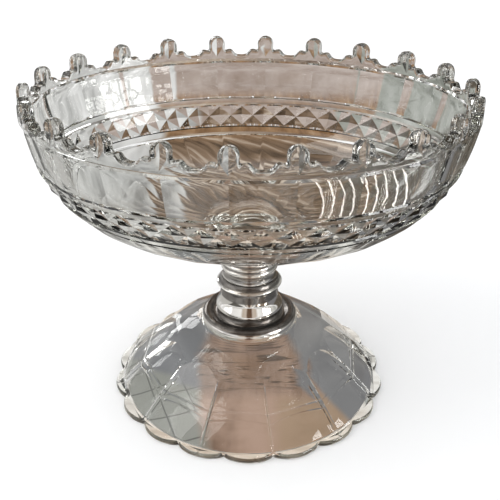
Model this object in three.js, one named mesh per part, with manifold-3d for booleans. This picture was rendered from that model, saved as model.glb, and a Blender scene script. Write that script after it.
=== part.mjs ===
// Oval cut glass fruit bowl on a silver plated mount and a domed cut glass foot.
// Millimetres, +Z up. The origin is the centre of the foot on the table, the
// long axis of the bowl runs along X and the side seen first looks along -Y.
//
// The bowl and the foot are two cut pieces of lead glass. The bowl ends below
// in a solid peg that is set with plaster into the plated collar, and the foot
// ends above in one that is set with plaster into the base flange. One bolt
// joins collar, knife-edge ring and drum, with its head inside the drum, and
// the drum screws down over the neck of the flange. All four are turned brass,
// silver plated.
import * as THREE from "three";
import { mergeVertices } from "three/addons/utils/BufferGeometryUtils.js";
import Module from "manifold-3d";

const wasm = await Module();
wasm.setup();

// ---------------------------------------------------------------- dimensions
const HEIGHT = 200; // table to the tops of the rim tabs
const TABS = 22; // rim tabs, and as many wall panels
const TAB_PHASE = -0.305; // of a pitch: where the tab nearest -Y stands
const RIM_HALF_LENGTH = 128.9; // outside of the rim along X
const RIM_HALF_WIDTH = 99.3; // outside of the rim along Y
const TAB_WIDTH = 10.4;
const TAB_RISE = 9.0; // tab top above the shoulders
const SCOOP_WIDTH = 10.6;
const SCOOP_DEPTH = 3.5; // below the shoulders
const DIAMOND_RELIEF = 1.5;
const FLUTE_DEPTH = 1.8;

const NECK_RADIUS = 15.2; // glass neck under the bowl
const PEG_RADIUS = 13.0; // glass peg inside the collar
const PEG_BOTTOM = 81.4;

const GAP = 0.3; // between pieces that touch
const BOLT_RADIUS = 4.0;
const BOLT_TOP = 79.0;
const BOLT_HEAD_LOW = 60.5;
const BOLT_HEAD_HIGH = 65.7;
const BOLT_HEAD_ACROSS = 12.0; // across flats

const CROWN_Z = 43.0; // flat on top of the foot
const CEILING_Z = 35.2; // top of the hollow, under the crown
const FOOT_PEG_RADIUS = 10.5; // glass peg inside the flange
const FOOT_PEG_TOP = 56.0;
const FOOT_LOBES = 18;
const FOOT_LOBE_RADIUS = 87.6;
const FOOT_NOTCH_RADIUS = 83.0;
const FOOT_EDGE = 3.2; // height of the scalloped edge
const FOOT_FACETS = 12;

// ---------------------------------------------------------------- helpers
const rad = (d) => (d * Math.PI) / 180;

// A closed THREE geometry as a manifold solid.
function solid(geometry) {
  let g = geometry.clone();
  g.deleteAttribute("normal");
  g.deleteAttribute("uv");
  g = mergeVertices(g, 1e-4);
  return new wasm.Manifold(
    new wasm.Mesh({
      numProp: 3,
      vertProperties: new Float32Array(g.attributes.position.array),
      triVerts: new Uint32Array(g.index.array),
    }),
  );
}

function geometryOf(manifold) {
  const m = manifold.getMesh();
  const p = new Float32Array((m.vertProperties.length / m.numProp) * 3);
  for (let i = 0; i < p.length / 3; i++)
    for (let k = 0; k < 3; k++) p[3 * i + k] = m.vertProperties[m.numProp * i + k];
  const g = new THREE.BufferGeometry();
  g.setAttribute("position", new THREE.BufferAttribute(p, 3));
  g.setIndex(new THREE.BufferAttribute(new Uint32Array(m.triVerts), 1));
  g.computeVertexNormals();
  return g;
}

// A turned piece: [radius, z] points, listed upwards along the outside, turned about Z.
function turned(points, segments = 40) {
  const g = new THREE.LatheGeometry(
    points.map(([r, z]) => new THREE.Vector2(r, z)),
    segments,
  );
  g.rotateX(Math.PI / 2); // the lathe's own axis is Y
  return g;
}

// Piecewise linear value of y at x, in a table of rows that falls in x.
function table(rows, x, column) {
  for (let i = 1; i < rows.length; i++) {
    const [a, b] = [rows[i - 1], rows[i]];
    if (x >= b[0])
      return a[column] + ((b[column] - a[column]) * (a[0] - x)) / (a[0] - b[0]);
  }
  return rows[rows.length - 1][column];
}

// ---------------------------------------------------------------- the bowl
// Outside and inside of the wall: z, half length, half width.
const OUTSIDE = [
  [200.0, 128.7, 99.1],
  [184.8, 128.9, 99.3],
  [182.0, 128.3, 98.8],
  [172.0, 126.2, 97.1],
  [160.0, 122.8, 94.6],
  [153.8, 120.4, 92.6],
  [147.4, 117.2, 90.3],
  [141.0, 112.6, 86.8],
  [136.0, 108.2, 83.4],
  [128.0, 99.8, 77.0],
  [120.0, 86.8, 67.3],
  [114.6, 68.0, 55.6],
  [110.6, 45.6, 40.2],
  [107.8, 26.0, 24.8],
];
const INSIDE = [
  [200.0, 122.6, 93.0],
  [185.0, 122.4, 92.8],
  [172.0, 119.7, 90.6],
  [160.0, 116.2, 88.0],
  [148.0, 110.0, 83.2],
  [138.0, 101.6, 76.6],
  [130.0, 91.2, 69.0],
  [123.0, 76.0, 58.6],
  [118.4, 56.0, 45.4],
  [115.6, 32.0, 28.4],
];

// The ellipse angle of a share u of the way round the rim, by arc length.
const arc = [];
{
  let s = 0,
    last = null;
  for (let i = 0; i <= 3600; i++) {
    const t = (i / 3600) * 2 * Math.PI;
    const p = [RIM_HALF_LENGTH * Math.cos(t), RIM_HALF_WIDTH * Math.sin(t)];
    if (last) s += Math.hypot(p[0] - last[0], p[1] - last[1]);
    arc.push([t, s]);
    last = p;
  }
}
const RIM_LENGTH = arc[arc.length - 1][1];
function angleAt(u) {
  const turns = Math.floor(u);
  const s = (u - turns) * RIM_LENGTH;
  let lo = 0,
    hi = arc.length - 1;
  while (hi - lo > 1) {
    const mid = (lo + hi) >> 1;
    if (arc[mid][1] <= s) lo = mid;
    else hi = mid;
  }
  const f = (s - arc[lo][1]) / (arc[hi][1] - arc[lo][1]);
  return arc[lo][0] + f * (arc[hi][0] - arc[lo][0]) + turns * 2 * Math.PI;
}
const tabShare = (k) => 0.75 + (TAB_PHASE + k) / TABS;

const COLUMNS = TABS * 4; // four to a panel, two to a diamond
const columnAngle = [];
for (let c = 0; c < COLUMNS; c++) columnAngle.push(angleAt(tabShare(c / 4)));

// The point of a wall profile at height z and column c, pushed in by `cut`.
// flat = 1 lays it on the chord between the two tab centres beside it.
function wallPoint(profile, z, c, cut = 0, flat = 0) {
  const a = table(profile, z, 1),
    b = table(profile, z, 2);
  const at = (t) => [a * Math.cos(t), b * Math.sin(t)];
  let [x, y] = at(columnAngle[c]);
  if (flat) {
    const first = c - (c % 4),
      f = (c % 4) / 4;
    const p = at(columnAngle[first]),
      q = at(columnAngle[(first + 4) % COLUMNS]);
    x += flat * (p[0] + (q[0] - p[0]) * f - x);
    y += flat * (p[1] + (q[1] - p[1]) * f - y);
  }
  const n = [x / (a * a), y / (b * b)],
    l = Math.hypot(n[0], n[1]);
  return [x - (cut * n[0]) / l, y - (cut * n[1]) / l, z];
}

// Rows from the bottom of the peg up the outside, over the rim and down inside.
const rows = [];
const row = (make) =>
  rows.push(Array.from({ length: COLUMNS }, (_, c) => make(c)));
const ring = (r, z) =>
  row((c) => [r * Math.cos(columnAngle[c]), r * Math.sin(columnAngle[c]), z]);

ring(PEG_RADIUS - 0.6, PEG_BOTTOM);
ring(PEG_RADIUS, PEG_BOTTOM + 0.6);
ring(PEG_RADIUS, 93.0);
ring(NECK_RADIUS, 94.4);
ring(NECK_RADIUS + 0.8, 102.6);
ring(NECK_RADIUS + 4.2, 105.8);
const fluteCut = (c, share) =>
  FLUTE_DEPTH * share * [0, 0.75, 1, 0.75][c % 4];
row((c) => wallPoint(OUTSIDE, 107.8, c, 0));
row((c) => wallPoint(OUTSIDE, 110.6, c, fluteCut(c, 0.55)));
row((c) => wallPoint(OUTSIDE, 114.6, c, fluteCut(c, 0.9)));
row((c) => wallPoint(OUTSIDE, 120.0, c, fluteCut(c, 0.45)));
row((c) => wallPoint(OUTSIDE, 128.0, c, fluteCut(c, 0.28)));
row((c) => wallPoint(OUTSIDE, 135.4, c, fluteCut(c, 0.24)));
// lower ring: a plain band between two grooves
row((c) => wallPoint(OUTSIDE, 136.4, c, 1.0));
row((c) => wallPoint(OUTSIDE, 137.4, c, 0));
row((c) => wallPoint(OUTSIDE, 140.3, c, 0));
row((c) => wallPoint(OUTSIDE, 141.3, c, 1.0));
// relief diamonds: peaks and valleys in turn, the valleys run corner to corner
const relief = (high) => (high ? 0 : DIAMOND_RELIEF);
row((c) => wallPoint(OUTSIDE, 142.2, c, relief(c % 2 === 1)));
row((c) => wallPoint(OUTSIDE, 148.0, c, relief(c % 2 === 0)));
const DIAMOND_ROW = rows.length - 1;
row((c) => wallPoint(OUTSIDE, 153.8, c, relief(c % 2 === 1)));
// upper ring
row((c) => wallPoint(OUTSIDE, 154.7, c, 1.0));
row((c) => wallPoint(OUTSIDE, 155.7, c, 0));
row((c) => wallPoint(OUTSIDE, 158.2, c, 0));
row((c) => wallPoint(OUTSIDE, 159.2, c, 1.0));
// flat panels
row((c) => wallPoint(OUTSIDE, 160.0, c, 0, 1));
row((c) => wallPoint(OUTSIDE, 182.0, c, 0, 1));
// mitre ring under the tabs
row((c) => wallPoint(OUTSIDE, 183.4, c, 1.3));
row((c) => wallPoint(OUTSIDE, 184.8, c, 0));
row((c) => wallPoint(OUTSIDE, HEIGHT, c, 0));
row((c) => wallPoint(INSIDE, HEIGHT, c, 0));
for (const z of [185, 166, 150, 138, 128, 120.5, 116.4])
  row((c) => wallPoint(INSIDE, z, c));

function loft(allRows, lowZ, highZ) {
  const p = [],
    index = [];
  for (const r of allRows) for (const v of r) p.push(...v);
  const n = COLUMNS,
    low = p.length / 3;
  p.push(0, 0, lowZ);
  const high = low + 1;
  p.push(0, 0, highZ);
  for (let i = 0; i + 1 < allRows.length; i++)
    for (let c = 0; c < n; c++) {
      const d = (c + 1) % n;
      const a = i * n + c,
        b = i * n + d,
        e = (i + 1) * n + c,
        f = (i + 1) * n + d;
      // in the diamond band the diagonal joins the two low corners
      const other =
        (i === DIAMOND_ROW - 1 && c % 2 === 0) ||
        (i === DIAMOND_ROW && c % 2 === 1);
      if (other) index.push(a, b, f, a, f, e);
      else index.push(a, b, e, b, f, e);
    }
  for (let c = 0; c < n; c++) {
    const d = (c + 1) % n;
    index.push(low, d, c);
    const top = (allRows.length - 1) * n;
    index.push(top + c, top + d, high);
  }
  const g = new THREE.BufferGeometry();
  g.setAttribute("position", new THREE.Float32BufferAttribute(p, 3));
  g.setIndex(index);
  return g;
}

let bowl = solid(loft(rows, PEG_BOTTOM, 114.8));

// One scoop outline between two tabs, along the rim (s) and up (z).
const PITCH = RIM_LENGTH / TABS;
function scoopShape(pitch) {
  const half = pitch / 2 - TAB_WIDTH / 2; // from the middle of the gap to the tab's side
  const shoulder = HEIGHT - TAB_RISE;
  const right = [];
  const round = TAB_WIDTH / 2; // the tab's round head reaches into the next gap's cutter
  for (let i = 0; i <= 4; i++) {
    const a = (i / 4) * (Math.PI / 2);
    right.push([half + round * (1 - Math.sin(a)), HEIGHT - round * (1 - Math.cos(a)) * 0.9]);
  }
  // right now runs from the tab's top centre down its side; turn it round below
  const side = [
    ...right,
    [half, shoulder + 1.6],
    [half - 0.5, shoulder + 0.5],
    [half - 1.6, shoulder],
    [SCOOP_WIDTH / 2 + 0.9, shoulder - 0.1],
    [SCOOP_WIDTH / 2 + 0.1, shoulder - 0.7],
    [SCOOP_WIDTH / 2 - 0.6, shoulder - SCOOP_DEPTH * 0.45],
    [SCOOP_WIDTH / 2 - 1.7, shoulder - SCOOP_DEPTH * 0.75],
    [SCOOP_WIDTH / 4, shoulder - SCOOP_DEPTH * 0.95],
    [0, shoulder - SCOOP_DEPTH],
  ];
  const outline = [[pitch / 2, HEIGHT + 6], ...side];
  const mirrored = side
    .slice(0, -1)
    .reverse()
    .map(([s, z]) => [-s, z]);
  outline.push(...mirrored, [-pitch / 2, HEIGHT + 6]);
  return new THREE.Shape(outline.map(([s, z]) => new THREE.Vector2(s, z)));
}

for (let k = 0; k < TABS; k++) {
  const t0 = angleAt(tabShare(k)),
    t1 = angleAt(tabShare(k + 1)),
    t = angleAt(tabShare(k + 0.5));
  const at = (q, grow = 1) => [
    RIM_HALF_LENGTH * grow * Math.cos(q),
    RIM_HALF_WIDTH * grow * Math.sin(q),
  ];
  const [p, q, m] = [at(t0), at(t1), at(t)];
  const chord = Math.hypot(q[0] - p[0], q[1] - p[1]);
  const cutter = new THREE.ExtrudeGeometry(scoopShape(chord), {
    depth: 16,
    bevelEnabled: false,
  });
  // shape x runs along the rim, shape y up, and the extrusion points inwards
  const along = new THREE.Vector3(q[0] - p[0], q[1] - p[1], 0).normalize();
  const up = new THREE.Vector3(0, 0, 1);
  const out = new THREE.Vector3().crossVectors(along, up);
  cutter.applyMatrix4(
    new THREE.Matrix4()
      .makeBasis(along, up, out)
      .setPosition(m[0] - 11 * out.x, m[1] - 11 * out.y, 0),
  );
  bowl = bowl.subtract(solid(cutter));
}

// ---------------------------------------------------------------- the foot
const FOOT_TOP = [
  [0, FOOT_PEG_TOP],
  [FOOT_PEG_RADIUS - 0.6, FOOT_PEG_TOP],
  [FOOT_PEG_RADIUS, FOOT_PEG_TOP - 0.6],
  [FOOT_PEG_RADIUS + 0.1, CROWN_Z + 0.9],
  [FOOT_PEG_RADIUS + 0.9, CROWN_Z],
  [30.4, CROWN_Z],
  [30.7, 44.1],
  [34.0, 43.0],
  [40.0, 40.2],
  [46.0, 36.7],
  [52.0, 32.9],
  [60.0, 27.3],
  [68.5, 20.8],
  [78.0, 12.6],
  [86.8, 3.0],
];
const FOOT_HOLLOW = [
  [80.6, 0.0],
  [79.0, 2.2],
  [71.0, 9.6],
  [60.5, 17.8],
  [46.5, 26.0],
  [33.0, 31.2],
  [22.0, 33.9],
  [11.0, 34.9],
  [0, CEILING_Z],
];
let foot = solid(
  turned(
    [...FOOT_TOP, [86.8, 0.0], ...FOOT_HOLLOW].reverse(),
    72,
  ),
);
// the scalloped edge: lobes and notches in turn
{
  const outline = [];
  const steps = 8;
  for (let i = 0; i < FOOT_LOBES * steps; i++) {
    const phase = (i % steps) / steps; // 0 at a notch
    const lobe = Math.pow(Math.sin(Math.PI * phase), 0.7);
    const r = FOOT_NOTCH_RADIUS + (FOOT_LOBE_RADIUS - FOOT_NOTCH_RADIUS) * lobe;
    // a lobe stands 20 degrees left of -Y
    const a = rad(-90 - 20 - 10) + (i / (FOOT_LOBES * steps)) * 2 * Math.PI;
    outline.push(new THREE.Vector2(r * Math.cos(a), r * Math.sin(a)));
  }
  const edge = solid(
    new THREE.ExtrudeGeometry(new THREE.Shape(outline), {
      depth: 70,
      bevelEnabled: false,
    }).translate(0, 0, -10),
  );
  foot = foot.intersect(edge);
  const plate = new THREE.Shape(outline);
  plate.holes.push(
    new THREE.Path().absarc(0, 0, 82, 0, 2 * Math.PI, true),
  );
  foot = foot.add(
    solid(
      new THREE.ExtrudeGeometry(plate, {
        depth: FOOT_EDGE,
        bevelEnabled: false,
        curveSegments: 36,
      }),
    ),
  );
}
// flat facets: two tiers in line and a third, staggered, on the shoulder
const facets = (count, first, distance, height, slope) => {
  for (let k = 0; k < count; k++) {
    const a = rad(first + (k * 360) / count);
    // keep what is below z = height - slope * (d - distance)
    const n = [-slope * Math.cos(a), -slope * Math.sin(a), -1];
    const l = Math.hypot(...n);
    foot = foot.trimByPlane(
      [n[0] / l, n[1] / l, -1 / l],
      (-slope * distance - height) / l,
    );
  }
};
const RIDGE = -90 - 20; // one facet ridge stands 20 degrees left of -Y
// the lower tier, and the upper one, which runs out in arches on the dome
facets(FOOT_FACETS, RIDGE + 15, 66.2, 19.4, 1.0);
facets(FOOT_FACETS, RIDGE + 15, 66.2, 19.4, 0.885);

// ---------------------------------------------------------------- the mount
const collar = turned([
  [BOLT_RADIUS + GAP, 70.7],
  [10.0, 70.7],
  [10.0, 76.6],
  [17.0, 76.6],
  [16.9, 77.6],
  [16.3, 79.2],
  [16.3, 80.6],
  [16.8, 81.8],
  [17.4, 82.6],
  [17.6, 83.7],
  [17.3, 84.8],
  [16.4, 85.5],
  [16.6, 86.2],
  [17.0, 87.0],
  [16.7, 87.8],
  [16.2, 88.4],
  [16.5, 89.3],
  [17.3, 90.3],
  [17.3, 91.6],
  [16.6, 92.6],
  [14.9, 93.4],
  [14.6, 93.0],
  [14.6, 79.6],
  [BOLT_RADIUS + GAP, 79.6],
  [BOLT_RADIUS + GAP, 70.7],
]);

const bowlPlaster = turned([
  [0, 79.9],
  [14.3, 79.9],
  [14.3, 92.6],
  [13.3, 92.6],
  [13.3, 81.1],
  [0, 81.1],
]);

const knife = turned([
  [10.3, 70.6],
  [16.9, 70.6],
  [17.4, 71.0],
  [20.1, 71.7],
  [20.4, 72.1],
  [20.2, 72.6],
  [18.7, 73.7],
  [17.6, 75.0],
  [17.2, 76.3],
  [10.3, 76.3],
  [10.3, 70.6],
]);

const drum = turned([
  [15.2, 54.9],
  [20.3, 54.9],
  [21.0, 55.2],
  [21.2, 55.8],
  [20.8, 57.0],
  [20.1, 58.5],
  [19.2, 60.4],
  [18.5, 62.4],
  [18.1, 64.6],
  [17.9, 66.7],
  [17.7, 68.7],
  [17.3, 70.3],
  [BOLT_RADIUS + GAP, 70.3],
  [BOLT_RADIUS + GAP, 67.5],
  [13.2, 67.5],
  [14.6, 65.7],
  [15.2, 62.8],
  [15.2, 54.9],
]);

const flange = turned([
  [12.9, CROWN_Z + 1.5],
  [27.7, CROWN_Z + 1.5],
  [27.7, CROWN_Z + GAP],
  [28.8, CROWN_Z + GAP],
  [29.7, 44.4],
  [30.1, 46.4],
  [29.8, 48.4],
  [28.8, 50.0],
  [27.0, 50.9],
  [25.2, 50.7],
  [23.4, 49.9],
  [21.8, 49.4],
  [20.4, 49.9],
  [19.3, 51.4],
  [18.8, 53.4],
  [18.7, 54.6],
  [14.9, 54.6],
  [14.9, 60.6],
  [12.9, 60.6],
  [12.9, CROWN_Z + 1.5],
]);

// plaster round the foot's peg, and the bed of it under the flange
const footPlaster = turned([
  [0, FOOT_PEG_TOP + GAP],
  [FOOT_PEG_RADIUS + GAP, FOOT_PEG_TOP + GAP],
  [FOOT_PEG_RADIUS + GAP + 0.1, CROWN_Z + 1.1],
  [FOOT_PEG_RADIUS + GAP + 0.9, CROWN_Z + GAP],
  [27.4, CROWN_Z + GAP],
  [27.4, CROWN_Z + 1.2],
  [12.6, CROWN_Z + 1.2],
  [12.6, 57.6],
  [0, 57.6],
]);

// hexagon head inside the drum, corners turned off, and a plain shank
let bolt;
{
  const hex = new THREE.Shape(
    Array.from({ length: 6 }, (_, i) => {
      const a = rad(30 + 60 * i);
      const r = BOLT_HEAD_ACROSS / 2 / Math.cos(Math.PI / 6);
      return new THREE.Vector2(r * Math.cos(a), r * Math.sin(a));
    }),
  );
  const corner = BOLT_HEAD_ACROSS / 2 / Math.cos(Math.PI / 6);
  const body = solid(
    new THREE.ExtrudeGeometry(hex, {
      depth: BOLT_HEAD_HIGH - BOLT_HEAD_LOW,
      bevelEnabled: false,
    }).translate(0, 0, BOLT_HEAD_LOW),
  );
  const head = body.intersect(
    solid(
      turned([
        [0, BOLT_HEAD_LOW],
        [corner - 1.1, BOLT_HEAD_LOW],
        [corner + 0.1, BOLT_HEAD_LOW + 0.7],
        [corner + 0.1, BOLT_HEAD_HIGH],
        [0, BOLT_HEAD_HIGH],
      ]),
    ),
  );
  const shank = solid(
    turned(
      [
        [0, BOLT_HEAD_LOW + 2],
        [BOLT_RADIUS, BOLT_HEAD_LOW + 2],
        [BOLT_RADIUS, BOLT_TOP - 0.8],
        [BOLT_RADIUS - 0.8, BOLT_TOP],
        [0, BOLT_TOP],
      ],
      28,
    ),
  );
  bolt = head.add(shank);
}

const washer = turned([
  [BOLT_RADIUS + 0.5, BOLT_HEAD_HIGH + GAP],
  [8.7, BOLT_HEAD_HIGH + GAP],
  [9.0, BOLT_HEAD_HIGH + GAP + 0.3],
  [9.0, 66.9],
  [8.7, 67.2],
  [BOLT_RADIUS + 0.5, 67.2],
  [BOLT_RADIUS + 0.5, BOLT_HEAD_HIGH + GAP],
]);

// ---------------------------------------------------------------- assembly
const finish = (color, roughness, metalness, extra = {}) =>
  new THREE.MeshStandardMaterial({ color, roughness, metalness, ...extra });
const leadGlass = () =>
  finish(0xdfe2de, 0.03, 0.0, { transparent: true, opacity: 0.35 });
const silverPlate = () => finish(0xd6d1c8, 0.12, 1.0);
const brass = () => finish(0xb08d4c, 0.35, 1.0);
const setPlaster = () => finish(0xe6e1d6, 0.9, 0.0);

const object = new THREE.Group();
object.name = "fruit_bowl";
const mount = new THREE.Group();
mount.name = "mount";
object.add(mount);

function put(parent, name, geometry, material) {
  const mesh = new THREE.Mesh(geometry, material);
  mesh.name = name;
  parent.add(mesh);
}
put(object, "glass_bowl", geometryOf(bowl), leadGlass());
put(object, "glass_foot", geometryOf(foot), leadGlass());
put(mount, "bowl_collar", collar, silverPlate());
put(mount, "knife_edge_ring", knife, silverPlate());
put(mount, "stem_drum", drum, silverPlate());
put(mount, "base_flange", flange, silverPlate());
put(mount, "bowl_plaster", bowlPlaster, setPlaster());
put(mount, "foot_plaster", footPlaster, setPlaster());
put(mount, "tie_bolt", geometryOf(bolt), brass());
put(mount, "bolt_washer", washer, brass());

export default object;
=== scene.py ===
import math

import bmesh
import bpy
import numpy as np
from mathutils import Matrix, Vector


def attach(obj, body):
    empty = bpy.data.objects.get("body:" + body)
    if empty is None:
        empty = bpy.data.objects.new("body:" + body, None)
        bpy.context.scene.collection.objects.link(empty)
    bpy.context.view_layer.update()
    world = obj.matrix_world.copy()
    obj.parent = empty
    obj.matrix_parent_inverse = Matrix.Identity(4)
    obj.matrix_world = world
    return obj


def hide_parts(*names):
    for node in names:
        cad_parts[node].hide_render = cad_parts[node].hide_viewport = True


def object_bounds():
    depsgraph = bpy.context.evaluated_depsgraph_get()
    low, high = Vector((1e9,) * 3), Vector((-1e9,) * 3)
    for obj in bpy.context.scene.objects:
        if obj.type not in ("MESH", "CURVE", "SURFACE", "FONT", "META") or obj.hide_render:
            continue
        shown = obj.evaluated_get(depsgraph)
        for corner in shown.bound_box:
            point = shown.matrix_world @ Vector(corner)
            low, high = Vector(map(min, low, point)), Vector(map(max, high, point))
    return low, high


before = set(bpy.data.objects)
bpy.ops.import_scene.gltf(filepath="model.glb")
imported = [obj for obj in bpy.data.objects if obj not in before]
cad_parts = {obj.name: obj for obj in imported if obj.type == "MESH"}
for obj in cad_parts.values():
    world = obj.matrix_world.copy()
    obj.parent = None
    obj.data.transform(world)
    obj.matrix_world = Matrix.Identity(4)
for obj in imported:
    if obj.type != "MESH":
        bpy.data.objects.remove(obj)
cad_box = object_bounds()
scene = bpy.context.scene

MM = 0.001
RAD = math.pi / 180

# ------------------------------------------------------------------ dimensions
HEIGHT = 200.0
TABS = 22
TAB_PHASE = -0.305
RIM_A, RIM_B = 128.9, 99.3
TAB_HALF = 5.2
SCOOP_LOW = 187.5
NECK_R, PEG_R, PEG_BOTTOM = 15.2, 13.0, 81.4
PER = 40  # columns to a pitch, ten to half a diamond
COLS = TABS * PER

OUTSIDE = [
    (200.0, 128.7, 99.1),
    (184.8, 128.9, 99.3),
    (182.0, 128.3, 98.8),
    (172.0, 126.2, 97.1),
    (160.0, 122.8, 94.6),
    (153.8, 120.4, 92.6),
    (147.4, 117.2, 90.3),
    (141.0, 112.6, 86.8),
    (136.0, 108.2, 83.4),
    (128.0, 99.8, 77.0),
    (120.0, 86.8, 67.3),
    (114.6, 68.0, 55.6),
    (110.6, 45.6, 40.2),
    (107.8, 26.0, 24.8),
]
INSIDE = [
    (200.0, 122.6, 93.0),
    (185.0, 122.4, 92.8),
    (172.0, 119.7, 90.6),
    (160.0, 116.2, 88.0),
    (148.0, 110.0, 83.2),
    (138.0, 101.6, 76.6),
    (130.0, 91.2, 69.0),
    (123.0, 76.0, 58.6),
    (118.4, 56.0, 45.4),
    (115.6, 32.0, 28.4),
]


# ------------------------------------------------------------------ small tools
def pchip(xs, ys):
    """Monotone cubic through the points, xs rising."""
    xs, ys = np.asarray(xs, float), np.asarray(ys, float)
    h = np.diff(xs)
    d = np.diff(ys) / h
    m = np.zeros_like(ys)
    m[0], m[-1] = d[0], d[-1]
    for i in range(1, len(xs) - 1):
        if d[i - 1] * d[i] > 0:
            w1, w2 = 2 * h[i] + h[i - 1], h[i] + 2 * h[i - 1]
            m[i] = (w1 + w2) / (w1 / d[i - 1] + w2 / d[i])

    def value(x):
        x = np.clip(np.asarray(x, float), xs[0], xs[-1])
        i = np.clip(np.searchsorted(xs, x) - 1, 0, len(xs) - 2)
        t = (x - xs[i]) / h[i]
        return (
            (2 * t**3 - 3 * t**2 + 1) * ys[i]
            + (t**3 - 2 * t**2 + t) * h[i] * m[i]
            + (-2 * t**3 + 3 * t**2) * ys[i + 1]
            + (t**3 - t**2) * h[i] * m[i + 1]
        )

    return value


def profile(rows):
    rows = rows[::-1]
    z = [r[0] for r in rows]
    return pchip(z, [r[1] for r in rows]), pchip(z, [r[2] for r in rows])


OUT_A, OUT_B = profile(OUTSIDE)
IN_A, IN_B = profile(INSIDE)

_t = np.linspace(0, 2 * np.pi, 7201)
_p = np.stack([RIM_A * np.cos(_t), RIM_B * np.sin(_t)], 1)
_s = np.concatenate([[0], np.cumsum(np.hypot(*np.diff(_p, axis=0).T))])
RIM_LENGTH = _s[-1]
PITCH = RIM_LENGTH / TABS


def angle_at(u):
    """Ellipse angle at a share u of the way round the rim, by arc length."""
    u = np.asarray(u, float)
    turns = np.floor(u)
    return np.interp((u - turns) * RIM_LENGTH, _s, _t) + turns * 2 * np.pi


def tab_share(k):
    return 0.75 + (TAB_PHASE + np.asarray(k, float)) / TABS


def mesh_from(name, verts, faces, replaces, material, smooth=True):
    me = bpy.data.meshes.new(name)
    me.from_pydata([tuple(v) for v in verts], [], faces)
    me.validate()
    me.update()
    ob = bpy.data.objects.new(name, me)
    scene.collection.objects.link(ob)
    if smooth:
        me.polygons.foreach_set("use_smooth", [True] * len(me.polygons))
    finish_piece(ob, replaces, material)
    return ob


def finish_piece(ob, replaces, material):
    ob.data.materials.clear()
    ob.data.materials.append(material)
    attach(ob, "root")
    if replaces:
        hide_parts(*replaces)


def sharpen(ob, threshold):
    """Marks the edges that are creases; threshold(midpoint in mm) gives the angle in degrees."""
    bm = bmesh.new()
    bm.from_mesh(ob.data)
    for e in bm.edges:
        if len(e.link_faces) == 2:
            mid = (e.verts[0].co + e.verts[1].co) * 500
            e.smooth = e.calc_face_angle(0.0) < threshold(mid) * RAD
    for f in bm.faces:
        f.smooth = True
    bm.to_mesh(ob.data)
    bm.free()


def boolean(target, cutter, operation):
    mod = target.modifiers.new("cut", "BOOLEAN")
    mod.operation = operation
    mod.object = cutter
    mod.solver = "MANIFOLD"
    deps = bpy.context.evaluated_depsgraph_get()
    me = bpy.data.meshes.new_from_object(target.evaluated_get(deps))
    target.modifiers.clear()
    old = target.data
    target.data = me
    bpy.data.meshes.remove(old)
    cut_mesh = cutter.data
    bpy.data.objects.remove(cutter)
    bpy.data.meshes.remove(cut_mesh)


def loose(name, verts, faces):
    me = bpy.data.meshes.new(name)
    me.from_pydata([tuple(v) for v in verts], [], faces)
    me.update()
    ob = bpy.data.objects.new(name, me)
    scene.collection.objects.link(ob)
    return ob


# ------------------------------------------------------------------ materials
def new_material(name):
    m = bpy.data.materials.new(name)
    m.use_nodes = True
    nt = m.node_tree
    return m, nt, nt.nodes["Principled BSDF"], nt.nodes["Material Output"]


def node(nt, kind, **values):
    n = nt.nodes.new(kind)
    for key, v in values.items():
        if hasattr(n, key) and key not in n.inputs:
            setattr(n, key, v)
        else:
            n.inputs[key].default_value = v
    return n


def ramp(nt, source, stops):
    r = nt.nodes.new("ShaderNodeValToRGB")
    e = r.color_ramp.elements
    e[0].position, e[0].color = stops[0][0], (*stops[0][1], 1)
    e[1].position, e[1].color = stops[-1][0], (*stops[-1][1], 1)
    for pos, col in stops[1:-1]:
        s = e.new(pos)
        s.color = (*col, 1)
    nt.links.new(source, r.inputs["Fac"])
    return r.outputs["Color"]


def map_range(nt, source, a, b, c, d):
    n = nt.nodes.new("ShaderNodeMapRange")
    n.inputs["From Min"].default_value = a
    n.inputs["From Max"].default_value = b
    n.inputs["To Min"].default_value = c
    n.inputs["To Max"].default_value = d
    nt.links.new(source, n.inputs["Value"])
    return n.outputs["Result"]


def facet_edges(nt, position):
    """Height of the fine ground lines along the foot's facet edges, 0 to 1.

    The facets stand every 30 degrees from RIDGE + 15; their two tiers meet 66.2 mm out.
    """
    xyz = nt.nodes.new("ShaderNodeSeparateXYZ")
    nt.links.new(position, xyz.inputs[0])

    def m(operation, *values):
        n = nt.nodes.new("ShaderNodeMath")
        n.operation = operation
        for i, v in enumerate(values):
            if isinstance(v, (int, float)):
                n.inputs[i].default_value = v
            else:
                nt.links.new(v, n.inputs[i])
        return n.outputs[0]

    x, y, z = xyz.outputs["X"], xyz.outputs["Y"], xyz.outputs["Z"]
    r = m("SQRT", m("ADD", m("MULTIPLY", x, x), m("MULTIPLY", y, y)))
    angle = m("ARCTAN2", y, x)
    # -15..15 degrees across a facet, 0 in its middle
    turn = m("DIVIDE", m("SUBTRACT", angle, math.radians(-95.0)), math.radians(30.0))
    across = m("MULTIPLY", m("SUBTRACT", m("FRACT", m("ADD", turn, 0.5)), 0.5), math.radians(30.0))
    d = m("MULTIPLY", r, m("COSINE", across))
    to_ridge = m("MULTIPLY", r, m("SUBTRACT", math.radians(15.0), m("ABSOLUTE", across)))
    to_tier = m("ABSOLUTE", m("SUBTRACT", d, 0.0662))
    lowest = m("MINIMUM", to_ridge, to_tier)
    line = map_range(nt, lowest, 0.0, 0.00055, 1.0, 0.0)
    outside = map_range(nt, m("ADD", z, m("MULTIPLY", r, 0.8)), 0.0645, 0.0665, 0.0, 1.0)
    reach = map_range(nt, r, 0.053, 0.056, 0.0, 1.0)
    return m("MULTIPLY", m("MULTIPLY", line, outside), reach)


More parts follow.
